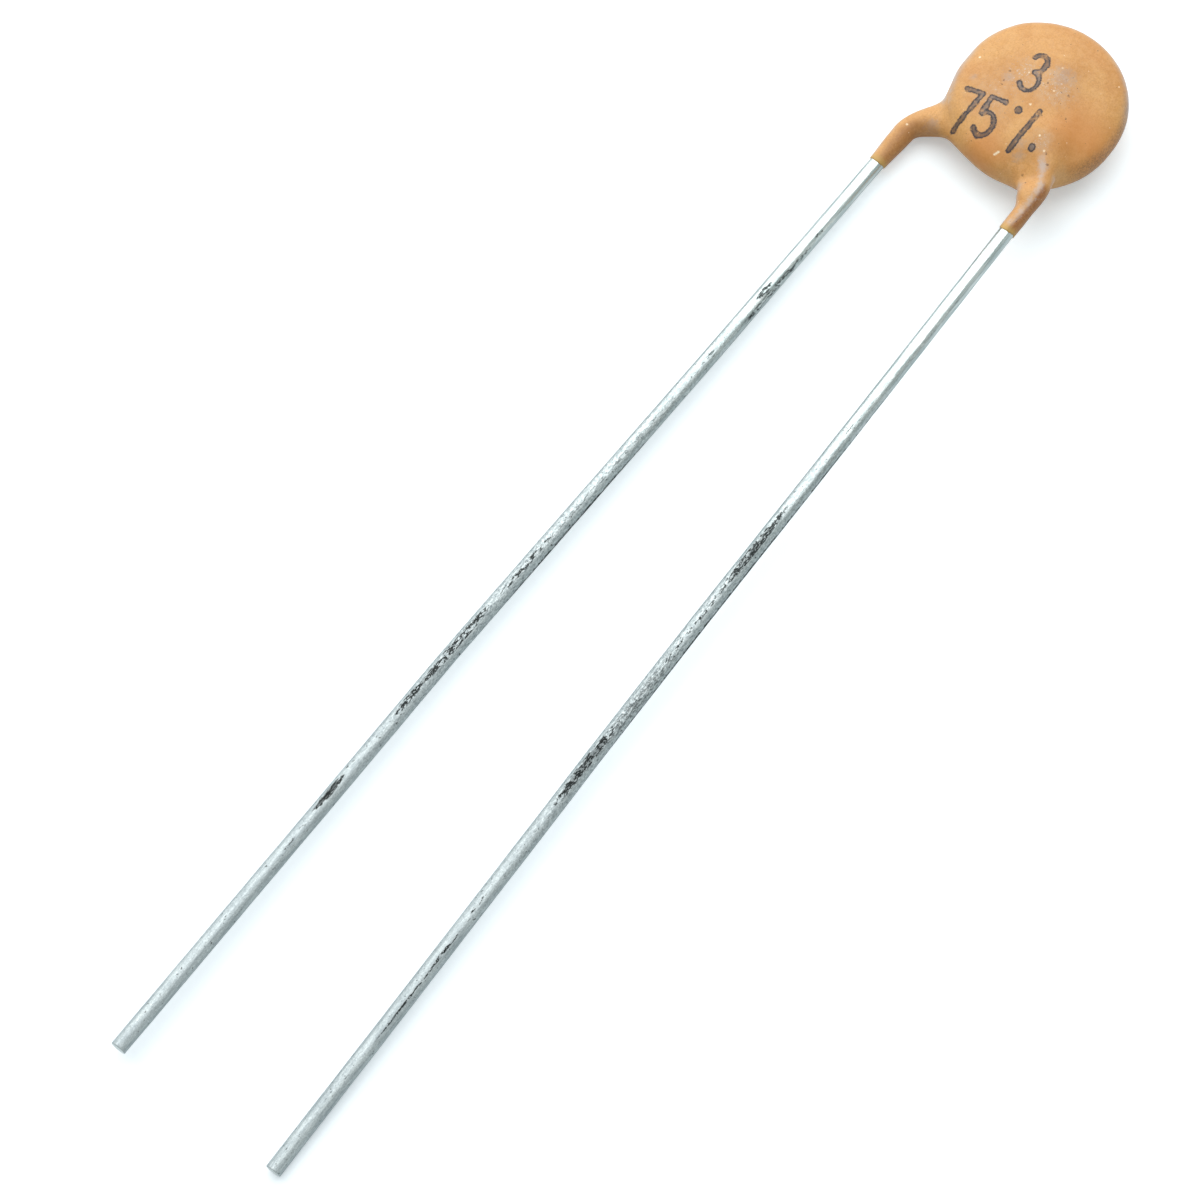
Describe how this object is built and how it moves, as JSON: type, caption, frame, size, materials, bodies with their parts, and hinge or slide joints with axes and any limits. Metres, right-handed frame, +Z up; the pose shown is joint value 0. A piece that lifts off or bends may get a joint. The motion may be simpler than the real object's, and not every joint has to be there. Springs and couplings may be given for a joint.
{
  "type": "ceramic disc capacitor",
  "caption": "Small round ceramic disc capacitor in a dipped tan coating that runs down its long parallel wire leads, lying flat.",
  "frame": {"origin": "centre of the part's footprint, on the surface it lies on", "axes": "+X along the leads towards the disc, +Y across the leads towards the rear lead, +Z up"},
  "size_m": [0.0476, 0.007, 0.0024],
  "materials": {
    "coating": "satin dipped resin",
    "ceramic": "fired, unglazed",
    "electrode": "fired silver film",
    "solder": "solder",
    "lead": "tinned, scuffed"
  },
  "bodies": {
    "root": {"coating": "coating", "ceramic_disc": "ceramic", "front_electrode": "electrode", "rear_electrode": "electrode", "front_solder": "solder", "rear_solder": "solder", "front_lead": "lead", "rear_lead": "lead"}
  },
  "joints": []
}
